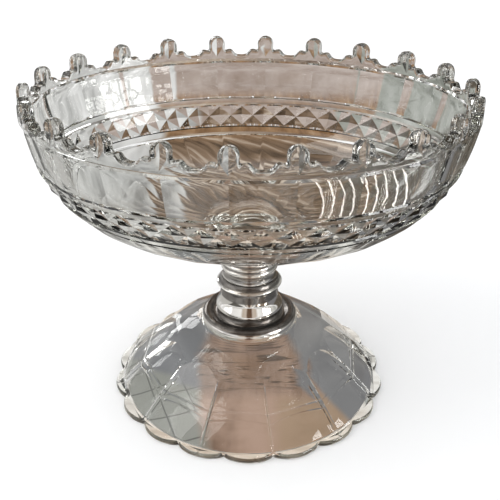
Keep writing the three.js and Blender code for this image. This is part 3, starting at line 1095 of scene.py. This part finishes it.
def glow(name, colour=(1, 1, 1), strength=1.0):
    m = bpy.data.materials.new(name)
    m.use_nodes = True
    nt = m.node_tree
    nt.nodes.clear()
    e = nt.nodes.new("ShaderNodeEmission")
    e.inputs["Color"].default_value = (*colour, 1)
    e.inputs["Strength"].default_value = strength
    o = nt.nodes.new("ShaderNodeOutputMaterial")
    nt.links.new(e.outputs[0], o.inputs["Surface"])
    return m, nt, e


def blend_colours(nt, fac, a, b):
    mix = nt.nodes.new("ShaderNodeMix")
    mix.data_type = "RGBA"
    nt.links.new(fac, mix.inputs["Factor"])
    for socket, v in ((mix.inputs[6], a), (mix.inputs[7], b)):
        if isinstance(v, tuple):
            socket.default_value = (*v, 1)
        else:
            nt.links.new(v, socket)
    return mix.outputs[2]


def math_node(nt, operation, *values):
    n = nt.nodes.new("ShaderNodeMath")
    n.operation = operation
    for i, v in enumerate(values):
        if isinstance(v, (int, float)):
            n.inputs[i].default_value = v
        else:
            nt.links.new(v, n.inputs[i])
    return n.outputs[0]


def smooth_step(nt, value, low, high):
    """0 below low, 1 above high, eased between."""
    n = nt.nodes.new("ShaderNodeMapRange")
    n.interpolation_type = "SMOOTHSTEP"
    n.inputs["From Min"].default_value = low
    n.inputs["From Max"].default_value = high
    n.inputs["To Min"].default_value = 0.0
    n.inputs["To Max"].default_value = 1.0
    nt.links.new(value, n.inputs["Value"])
    return n.outputs["Result"]


def table_card_material():
    """The table top that the glass shows, as a glowing card of painted light: grey cloth, and a worn brown
    board under the middle.
    """
    m, nt, e = glow("table_card")
    tex = nt.nodes.new("ShaderNodeTexCoord")
    xyz = nt.nodes.new("ShaderNodeSeparateXYZ")
    nt.links.new(tex.outputs["Object"], xyz.inputs[0])
    x, y = xyz.outputs["X"], xyz.outputs["Y"]
    cloud = node(nt, "ShaderNodeTexNoise", Scale=7.0, Detail=5.0, Roughness=0.6)
    nt.links.new(tex.outputs["Object"], cloud.inputs["Vector"])
    # grain of the board, drawn out along Y
    drawn = node(nt, "ShaderNodeMapping")
    drawn.inputs["Scale"].default_value = (70, 5, 1)
    drawn.inputs["Rotation"].default_value = (0, 0, 0.12)
    nt.links.new(tex.outputs["Object"], drawn.inputs["Vector"])
    grain = node(nt, "ShaderNodeTexNoise", Scale=1.0, Detail=4.0, Roughness=0.6)
    nt.links.new(drawn.outputs["Vector"], grain.inputs["Vector"])
    # folds of the cloth, which give the glass its light and dark streaks
    folds = node(nt, "ShaderNodeMapping")
    folds.inputs["Scale"].default_value = (16, 3.2, 1)
    folds.inputs["Rotation"].default_value = (0, 0, -0.5)
    nt.links.new(tex.outputs["Object"], folds.inputs["Vector"])
    fold = node(nt, "ShaderNodeTexNoise", Scale=1.0, Detail=3.0, Roughness=0.5)
    nt.links.new(folds.outputs["Vector"], fold.inputs["Vector"])

    wobble = math_node(nt, "MULTIPLY_ADD", cloud.outputs["Fac"], 0.024, -0.012)
    xw = math_node(nt, "ADD", x, wobble)
    # the board's left edge runs away from the middle, its right edge less so
    near = smooth_step(nt, y, 0.12, 0.07)
    narrow = math_node(nt, "MULTIPLY", math_node(nt, "MAXIMUM", math_node(nt, "SUBTRACT", y, 0.03), 0.0), 0.22)
    left_far_off = math_node(nt, "MULTIPLY_ADD", y, -0.15, -0.034)
    left_close = math_node(nt, "ADD", math_node(nt, "MULTIPLY_ADD", y, -0.07, -0.029), narrow)
    left = math_node(
        nt,
        "MULTIPLY_ADD",
        near,
        math_node(nt, "SUBTRACT", left_close, left_far_off),
        left_far_off,
    )
    in_left = smooth_step(nt, math_node(nt, "SUBTRACT", xw, left), -0.005, 0.005)
    right_far_off = math_node(nt, "MULTIPLY_ADD", y, 0.215, 0.046)
    widen = math_node(
        nt, "MULTIPLY", math_node(nt, "MAXIMUM", math_node(nt, "SUBTRACT", -0.004, y), 0.0), 0.62
    )
    right_close = math_node(nt, "SUBTRACT", math_node(nt, "MULTIPLY_ADD", y, -0.06, 0.0313), narrow)
    right_close = math_node(nt, "ADD", right_close, widen)
    right = math_node(
        nt,
        "MULTIPLY_ADD",
        near,
        math_node(nt, "SUBTRACT", right_close, right_far_off),
        right_far_off,
    )
    in_right = smooth_step(nt, math_node(nt, "SUBTRACT", xw, right), 0.004, -0.004)
    brown = math_node(nt, "MULTIPLY", in_left, in_right)
    far = smooth_step(nt, y, 0.36, 0.46)
    very_far = smooth_step(nt, y, 0.50, 0.62)

    # board: pinkish brown under the foot, dark behind it, warm further off, pale at the end
    under = ramp(
        nt, grain.outputs["Fac"], [(0.3, (0.19, 0.122, 0.087)), (0.7, (0.39, 0.265, 0.192))]
    )
    cross = node(nt, "ShaderNodeMapping")
    cross.inputs["Scale"].default_value = (34, 190, 1)
    cross.inputs["Rotation"].default_value = (0, 0, 0.1)
    nt.links.new(tex.outputs["Object"], cross.inputs["Vector"])
    wavy = node(nt, "ShaderNodeTexNoise", Scale=1.0, Detail=3.0, Roughness=0.55)
    wavy.inputs["Distortion"].default_value = 0.8
    nt.links.new(cross.outputs["Vector"], wavy.inputs["Vector"])
    streaks = math_node(
        nt,
        "MULTIPLY",
        smooth_step(nt, wavy.outputs["Fac"], 0.47, 0.37),
        smooth_step(nt, y, -0.025, 0.005),
    )
    under = blend_colours(nt, streaks, under, (0.10, 0.066, 0.046))
    blush = math_node(
        nt,
        "MULTIPLY",
        smooth_step(nt, cloud.outputs["Fac"], 0.5, 0.64),
        smooth_step(nt, y, 0.0, -0.03),
    )
    under = blend_colours(nt, blush, under, (0.46, 0.32, 0.25))
    tan = math_node(
        nt,
        "MULTIPLY",
        smooth_step(nt, x, 0.008, 0.022),
        smooth_step(nt, y, -0.01, -0.035),
    )
    tan = math_node(nt, "MULTIPLY", tan, 0.6)
    under = blend_colours(nt, tan, under, (0.36, 0.262, 0.165))
    # behind the foot the streaks of the board run aslant
    aslant = node(nt, "ShaderNodeCombineXYZ")
    for i, (fx, fy) in enumerate(((5.5, -4.3), (32.0, 41.0))):
        nt.links.new(
            math_node(nt, "MULTIPLY_ADD", x, fx, math_node(nt, "MULTIPLY", y, fy)),
            aslant.inputs[i],
        )
    slant = node(nt, "ShaderNodeTexNoise", Scale=1.0, Detail=3.0, Roughness=0.55)
    slant.inputs["Distortion"].default_value = 0.5
    nt.links.new(aslant.outputs[0], slant.inputs["Vector"])
    dark = ramp(
        nt,
        slant.outputs["Fac"],
        [
            (0.36, (0.045, 0.029, 0.018)),
            (0.46, (0.14, 0.090, 0.055)),
            (0.55, (0.25, 0.170, 0.112)),
            (0.67, (0.66, 0.56, 0.46)),
        ],
    )
    warm = ramp(
        nt,
        grain.outputs["Fac"],
        [
            (0.30, (0.13, 0.065, 0.030)),
            (0.45, (0.27, 0.150, 0.072)),
            (0.60, (0.36, 0.215, 0.110)),
            (0.75, (0.58, 0.430, 0.29)),
        ],
    )
    mauve = ramp(
        nt,
        cloud.outputs["Fac"],
        [(0.3, (0.30, 0.225, 0.18)), (0.5, (0.45, 0.37, 0.33)), (0.7, (0.62, 0.54, 0.50))],
    )
    board = blend_colours(nt, near, dark, under)
    board = blend_colours(nt, far, board, warm)
    board = blend_colours(nt, very_far, board, mauve)

    # cloth on the left: grey near, bright with folds further off
    left_far = smooth_step(nt, y, 0.12, 0.24)
    joints = []
    for fx, fy, pitch in ((0.94, 0.34, 0.021), (-0.34, 0.94, 0.026)):
        along = math_node(
            nt, "ADD", math_node(nt, "MULTIPLY", x, fx), math_node(nt, "MULTIPLY", y, fy)
        )
        cell = math_node(nt, "FRACT", math_node(nt, "DIVIDE", along, pitch))
        off_joint = math_node(nt, "ABSOLUTE", math_node(nt, "SUBTRACT", cell, 0.5))
        joints.append(smooth_step(nt, off_joint, 0.46, 0.49))
    joint = math_node(nt, "MAXIMUM", joints[0], joints[1])
    slab = blend_colours(nt, joint, (0.26, 0.265, 0.235), (0.085, 0.085, 0.075))
    slabs_here = smooth_step(nt, math_node(nt, "MULTIPLY_ADD", x, 0.5, y), -0.022, -0.034)
    close_left = blend_colours(nt, slabs_here, (0.185, 0.19, 0.20), slab)
    cloth_left = blend_colours(
        nt,
        left_far,
        blend_colours(nt, smooth_step(nt, x, -0.085, -0.11), close_left, (0.53, 0.525, 0.505)),
        ramp(
            nt,
            fold.outputs["Fac"],
            [
                (0.30, (0.24, 0.24, 0.235)),
                (0.42, (0.48, 0.48, 0.47)),
                (0.54, (0.74, 0.74, 0.73)),
                (0.68, (0.98, 0.98, 0.98)),
            ],
        ),
    )
    # on the right: dark olive near, grey green further off
    olive = ramp(
        nt,
        cloud.outputs["Fac"],
        [(0.3, (0.06, 0.052, 0.040)), (0.55, (0.125, 0.108, 0.085)), (0.75, (0.25, 0.22, 0.18))],
    )
    green = ramp(
        nt,
        fold.outputs["Fac"],
        [(0.3, (0.17, 0.18, 0.155)), (0.5, (0.33, 0.345, 0.31)), (0.7, (0.52, 0.53, 0.50))],
    )
    cloth_right = blend_colours(nt, near, olive, (0.195, 0.195, 0.20))
    cloth_right = blend_colours(nt, far, cloth_right, green)
    side = smooth_step(nt, x, -0.01, 0.01)
    cloth = blend_colours(nt, side, cloth_left, cloth_right)
    nt.links.new(blend_colours(nt, brown, cloth, board), e.inputs["Color"])
    e.inputs["Strength"].default_value = 1.0
    return m


def ring_card_material():
    """The cloth close to the foot, which the underside of the bowl shows, as a glowing card: painted light
    over the floor in the shade of the glass.
    """
    m, nt, e = glow("ring_card")
    tex = nt.nodes.new("ShaderNodeTexCoord")
    xyz = nt.nodes.new("ShaderNodeSeparateXYZ")
    nt.links.new(tex.outputs["Object"], xyz.inputs[0])
    threads = node(nt, "ShaderNodeMapping")
    threads.inputs["Scale"].default_value = (14, 120, 1)
    nt.links.new(tex.outputs["Object"], threads.inputs["Vector"])
    weave = node(nt, "ShaderNodeTexNoise", Scale=1.0, Detail=3.0, Roughness=0.6)
    nt.links.new(threads.outputs["Vector"], weave.inputs["Vector"])
    warm = ramp(
        nt,
        weave.outputs["Fac"],
        [(0.3, (0.48, 0.385, 0.30)), (0.5, (0.74, 0.63, 0.52)), (0.7, (0.98, 0.90, 0.80))],
    )
    pale = ramp(
        nt,
        weave.outputs["Fac"],
        [(0.3, (0.55, 0.54, 0.50)), (0.5, (0.82, 0.81, 0.77)), (0.7, (1.0, 1.0, 0.98))],
    )
    away = smooth_step(nt, math_node(nt, "ABSOLUTE", xyz.outputs["X"]), 0.045, 0.09)
    nt.links.new(blend_colours(nt, away, warm, pale), e.inputs["Color"])
    return m


def front_card_material():
    """The table in front, which the outside of the glass and the silver mirror, as a glowing card: painted
    light in pale and dark bands.
    """
    m, nt, e = glow("front_card")
    tex = nt.nodes.new("ShaderNodeTexCoord")
    xyz = nt.nodes.new("ShaderNodeSeparateXYZ")
    nt.links.new(tex.outputs["Object"], xyz.inputs[0])
    x, y = xyz.outputs["X"], xyz.outputs["Y"]
    cloud = node(nt, "ShaderNodeTexNoise", Scale=14.0, Detail=4.0, Roughness=0.6)
    nt.links.new(tex.outputs["Object"], cloud.inputs["Vector"])
    xw = math_node(nt, "MULTIPLY_ADD", cloud.outputs["Fac"], 0.03, x)
    off = math_node(nt, "ABSOLUTE", math_node(nt, "SUBTRACT", xw, 0.015))
    tone = ramp(
        nt,
        map_range(nt, off, 0.0, 0.16, 0.0, 1.0),
        [
            (0.0, (0.10, 0.06, 0.04)),
            (0.10, (0.16, 0.10, 0.075)),
            (0.16, (0.62, 0.54, 0.46)),
            (0.30, (0.70, 0.66, 0.60)),
            (0.38, (0.10, 0.09, 0.08)),
            (0.46, (0.85, 0.84, 0.82)),
            (0.8, (0.85, 0.84, 0.82)),
            (1.0, (0.12, 0.115, 0.105)),
        ],
    )
    nt.links.new(tone, e.inputs["Color"])
    e.inputs["Strength"].default_value = 1.0
    return m


FLOOR_Z = -0.0004
flat_panel(
    "floor",
    [(-4, -4, FLOOR_Z), (4, -4, FLOOR_Z), (4, 4, FLOOR_Z), (-4, 4, FLOOR_Z)],
    floor_material(),
)
TABLE = table_card_material()
# under the foot: a glowing card seen only through the glass, painted light where the glass's shade falls
disc = [(0.079 * math.cos(i * RAD * 5), 0.079 * math.sin(i * RAD * 5), -0.0002) for i in range(72)]
ob = loose("table_card_foot", disc, [tuple(range(72))])
ob.data.materials.append(TABLE)
hide_from_camera(ob)
# round the foot: a glowing card of painted light, seen only in the glass
ring_v, ring_f = [], []
for i in range(72):
    for reach in (0.0795, 0.17):
        ring_v.append((reach * math.cos(i * RAD * 5), reach * math.sin(i * RAD * 5), -0.0003))
    k, m2 = 2 * i, 2 * ((i + 1) % 72)
    ring_f.append((k, k + 1, m2 + 1, m2))
ob = loose("table_card_ring", ring_v, ring_f)
ob.data.materials.append(ring_card_material())
hide_from_camera(ob)
# behind and beside the bowl, and in front of it: glowing cards of painted light, seen only in the glass and
# the silver
flat_panel(
    "table_card_back",
    [(-1.2, 0.1, -0.0002), (1.4, 0.1, -0.0002), (1.4, 2.0, -0.0002), (-1.2, 2.0, -0.0002)],
    TABLE,
    seen=False,
)
flat_panel(
    "table_card_front",
    [(-0.9, -0.75, -0.0002), (0.9, -0.75, -0.0002), (0.9, -0.1, -0.0002), (-0.9, -0.1, -0.0002)],
    front_card_material(),
    seen=False,
)
for side_name, x0, x1 in (("table_card_left", -1.2, -0.1), ("table_card_right", 0.1, 1.4)):
    flat_panel(
        side_name,
        [(x0, -0.1, -0.0002), (x1, -0.1, -0.0002), (x1, 0.1, -0.0002), (x0, 0.1, -0.0002)],
        TABLE,
        seen=False,
    )


# Where on the mat each pale slat lies, as a smooth map from table to slat number. The two
# patches of the mat are the ones that two neighbouring wall panels mirror.
SLAT_PATCHES = [
    ((0.146, -0.224), (-2.343, 10.999, 5.283, -0.8, 0.416, 3.939), (-3.4, 1.2)),
    ((0.252, -0.138), (2.162, 7.321, 9.327, 0.024, -2.439, 1.508), (-0.6, 4.6)),
]


def slat_material():
    """A mat of pale slats on the table in front, which the front wall of the bowl mirrors: a glowing card
    whose painted light gives the bright reflected arcs.
    """
    m, nt, e = glow("glowing_slat_card")
    tex = nt.nodes.new("ShaderNodeTexCoord")
    xyz = nt.nodes.new("ShaderNodeSeparateXYZ")
    nt.links.new(tex.outputs["Object"], xyz.inputs[0])
    grain = node(nt, "ShaderNodeTexNoise", Scale=60.0, Detail=2.0, Roughness=0.5)
    nt.links.new(tex.outputs["Object"], grain.inputs["Vector"])
    lines = []
    for (cx, cy), (c0, c1, c2, c3, c4, c5), (first, last) in SLAT_PATCHES:
        x = math_node(nt, "MULTIPLY_ADD", xyz.outputs["X"], 10.0, -10.0 * cx)
        y = math_node(nt, "MULTIPLY_ADD", xyz.outputs["Y"], 10.0, -10.0 * cy)
        count = math_node(nt, "MULTIPLY_ADD", x, c1, c0)
        count = math_node(nt, "MULTIPLY_ADD", y, c2, count)
        for a, b, c in ((x, x, c3), (x, y, c4), (y, y, c5)):
            count = math_node(nt, "MULTIPLY_ADD", math_node(nt, "MULTIPLY", a, b), c, count)
        count = math_node(
            nt,
            "MULTIPLY_ADD",
            math_node(nt, "SUBTRACT", grain.outputs["Fac"], 0.5),
            0.5,
            count,
        )
        part = math_node(nt, "FRACT", math_node(nt, "ADD", count, 0.5))
        line = smooth_step(
            nt, math_node(nt, "ABSOLUTE", math_node(nt, "SUBTRACT", part, 0.5)), 0.115, 0.07
        )
        away = math_node(
            nt,
            "MAXIMUM",
            math_node(nt, "ABSOLUTE", x),
            math_node(nt, "ABSOLUTE", y),
        )
        for mask in (
            smooth_step(nt, count, first, first + 0.1),
            smooth_step(nt, count, last, last - 0.1),
            smooth_step(nt, away, 0.62, 0.58),
        ):
            line = math_node(nt, "MULTIPLY", line, mask)
        lines.append(line)
    line = math_node(nt, "MAXIMUM", lines[0], lines[1])
    nt.links.new(
        blend_colours(nt, line, (0.018, 0.0145, 0.011), (1.0, 0.97, 0.91)), e.inputs["Color"]
    )
    # glows fourteen times as bright as the table cards: painted light for the reflected arcs
    e.inputs["Strength"].default_value = 14.0
    return m


def room_material():
    """The dim room that the glass and the silver mirror, by direction only: a glowing sphere with the room's
    light and shade painted on it.
    """
    m, nt, e = glow("room")
    tex = nt.nodes.new("ShaderNodeTexCoord")
    n = node(nt, "ShaderNodeVectorMath", operation="NORMALIZE")
    nt.links.new(tex.outputs["Object"], n.inputs[0])
    xyz = nt.nodes.new("ShaderNodeSeparateXYZ")
    nt.links.new(n.outputs[0], xyz.inputs[0])
    z = xyz.outputs["Z"]
    walls = ramp(
        nt,
        map_range(nt, xyz.outputs["X"], -1, 1, 0, 1),
        [
            (0.0, (0.80, 0.80, 0.80)),
            (0.12, (0.62, 0.62, 0.62)),
            (0.22, (0.20, 0.20, 0.20)),
            (0.30, (0.75, 0.74, 0.72)),
            (0.38, (0.14, 0.125, 0.11)),
            (0.46, (0.52, 0.42, 0.33)),
            (0.54, (0.17, 0.115, 0.085)),
            (0.62, (0.62, 0.58, 0.53)),
            (0.70, (0.12, 0.11, 0.10)),
            (0.80, (0.60, 0.60, 0.57)),
            (0.90, (0.22, 0.22, 0.21)),
            (1.0, (0.45, 0.46, 0.44)),
        ],
    )
    near_walls = ramp(
        nt,
        map_range(nt, xyz.outputs["X"], -1, 1, 0, 1),
        [
            (0.0, (0.80, 0.80, 0.80)),
            (0.27, (0.95, 0.95, 0.94)),
            (0.32, (0.52, 0.45, 0.38)),
            (0.41, (0.60, 0.52, 0.45)),
            (0.45, (0.14, 0.085, 0.055)),
            (0.56, (0.14, 0.085, 0.055)),
            (0.60, (0.60, 0.52, 0.45)),
            (0.69, (0.52, 0.45, 0.38)),
            (0.74, (0.95, 0.95, 0.94)),
            (1.0, (0.55, 0.55, 0.53)),
        ],
    )
    near_walls = blend_colours(
        nt, map_range(nt, z, 0.42, 0.54, 0.0, 1.0), near_walls, (0.20, 0.145, 0.105)
    )
    aside = math_node(nt, "ABSOLUTE", math_node(nt, "ADD", xyz.outputs["X"], 0.0))
    low_corner = math_node(
        nt,
        "MULTIPLY",
        map_range(nt, aside, 0.28, 0.40, 0.0, 1.0),
        map_range(nt, z, 0.13, 0.07, 0.0, 1.0),
    )
    near_walls = blend_colours(nt, low_corner, near_walls, (0.62, 0.61, 0.59))
    walls = blend_colours(
        nt, map_range(nt, xyz.outputs["Y"], 0.05, -0.05, 0.0, 1.0), walls, near_walls
    )
    ceiling = map_range(nt, z, 0.72, 0.86, 0.0, 1.0)
    over = blend_colours(
        nt,
        map_range(nt, xyz.outputs["Y"], 0.16, -0.06, 0.0, 1.0),
        (1.0, 1.0, 1.02),
        (0.44, 0.36, 0.29),
    )
    nt.links.new(blend_colours(nt, ceiling, walls, over), e.inputs["Color"])
    return m


flat_panel(
    "glowing_slat_card",
    [(0.1, -0.3, 0.0012), (0.33, -0.3, 0.0012), (0.33, -0.085, 0.0012), (0.1, -0.085, 0.0012)],
    slat_material(),
    False,
)

bm = bmesh.new()
bmesh.ops.create_icosphere(bm, subdivisions=4, radius=3.2)
room_mesh = bpy.data.meshes.new("room")
bm.to_mesh(room_mesh)
bm.free()
room = bpy.data.objects.new("room", room_mesh)
scene.collection.objects.link(room)
room_mesh.materials.append(room_material())
hide_from_camera(room)


def window(
    name, centre, facing, width, height, across, up_count, strength, bar=0.1, colour=(1, 1, 1)
):
    """A window of bright panes, seen only in the glass and the silver."""
    centre, facing = Vector(centre), Vector(facing)
    n = (facing - centre).normalized()
    u = n.cross(Vector((0, 0, 1))).normalized()
    v = u.cross(n)
    verts, faces = [], []
    for i in range(across):
        for j in range(up_count):
            x0 = (i + bar / 2) / across - 0.5
            x1 = (i + 1 - bar / 2) / across - 0.5
            y0 = (j + bar / 2) / up_count - 0.5
            y1 = (j + 1 - bar / 2) / up_count - 0.5
            k = len(verts)
            for a, b in ((x0, y0), (x1, y0), (x1, y1), (x0, y1)):
                verts.append(centre + u * (a * width) + v * (b * height))
            faces.append((k, k + 1, k + 2, k + 3))
    ob = loose(name, verts, faces)
    ob.data.materials.append(glow(name, colour, strength)[0])
    hide_from_camera(ob)
    return ob


window("window_right", (1.35, -0.7, 0.62), (0, 0, 0.15), 0.8, 0.9, 2, 3, 9.0)
window("window_left", (-1.5, -0.35, 0.6), (0, 0, 0.15), 1.0, 1.0, 2, 3, 1.4)
window("window_back", (-0.9, 1.7, 0.75), (0, 0, 0.15), 0.8, 0.7, 2, 2, 5.0)
window(
    "window_panes", (-1.6, 0.05, 0.95), (0, 0, 0.02), 1.0, 0.8, 8, 7, 1.2, 0.2, (0.88, 0.9, 0.84)
)

world = bpy.data.worlds.new("studio")
scene.world = world
world.use_nodes = True
wt = world.node_tree
wt.nodes["Background"].inputs["Color"].default_value = (0.97, 0.98, 1.0, 1)
wt.nodes["Background"].inputs["Strength"].default_value = 1.15


def softbox(name, at, target, size, energy, colour=(1, 1, 1)):
    light = bpy.data.lights.new(name, "AREA")
    light.shape = "RECTANGLE"
    light.size, light.size_y = size
    light.energy = energy
    light.color = colour
    ob = bpy.data.objects.new(name, light)
    ob.location = at
    ob.rotation_euler = (Vector(target) - Vector(at)).to_track_quat("-Z", "Y").to_euler()
    scene.collection.objects.link(ob)
    return ob


softbox("key", (-1.1, -0.3, 1.3), (0, 0, 0.15), (0.9, 1.2), 8, (1, 0.99, 0.97))

# ------------------------------------------------------------------ camera
cam = bpy.data.cameras.new("camera")
cam.lens = 60.26
cam.sensor_width = 36
cam.sensor_fit = "HORIZONTAL"
cam.clip_start, cam.clip_end = 0.01, 50
camera = bpy.data.objects.new("camera", cam)
scene.collection.objects.link(camera)
forward = Vector((0.0006, 0.8753, -0.4836)).normalized()
right = forward.cross(Vector((0, 0, 1))).normalized()
up = right.cross(forward)
roll = 0.35 * RAD
r2 = right * math.cos(roll) + up * math.sin(roll)
u2 = -right * math.sin(roll) + up * math.cos(roll)
camera.matrix_world = Matrix.Translation((0, -0.45113, 0.34216)) @ Matrix(
    (
        (r2.x, u2.x, -forward.x),
        (r2.y, u2.y, -forward.y),
        (r2.z, u2.z, -forward.z),
    )
).to_4x4()
scene.camera = camera

scene.view_settings.view_transform = "Standard"
scene.view_settings.look = "None"
scene.cycles.max_bounces = 24
scene.cycles.transmission_bounces = 22
scene.cycles.glossy_bounces = 8
scene.cycles.transparent_max_bounces = 16

# the last hundredths of a millimetre of the rim's bulges end flush with the CAD model's box
for v in bowl.data.vertices:
    v.co = [min(max(c, a + 2e-6), b - 2e-6) for c, a, b in zip(v.co, *cad_box)]
bowl.data.update()
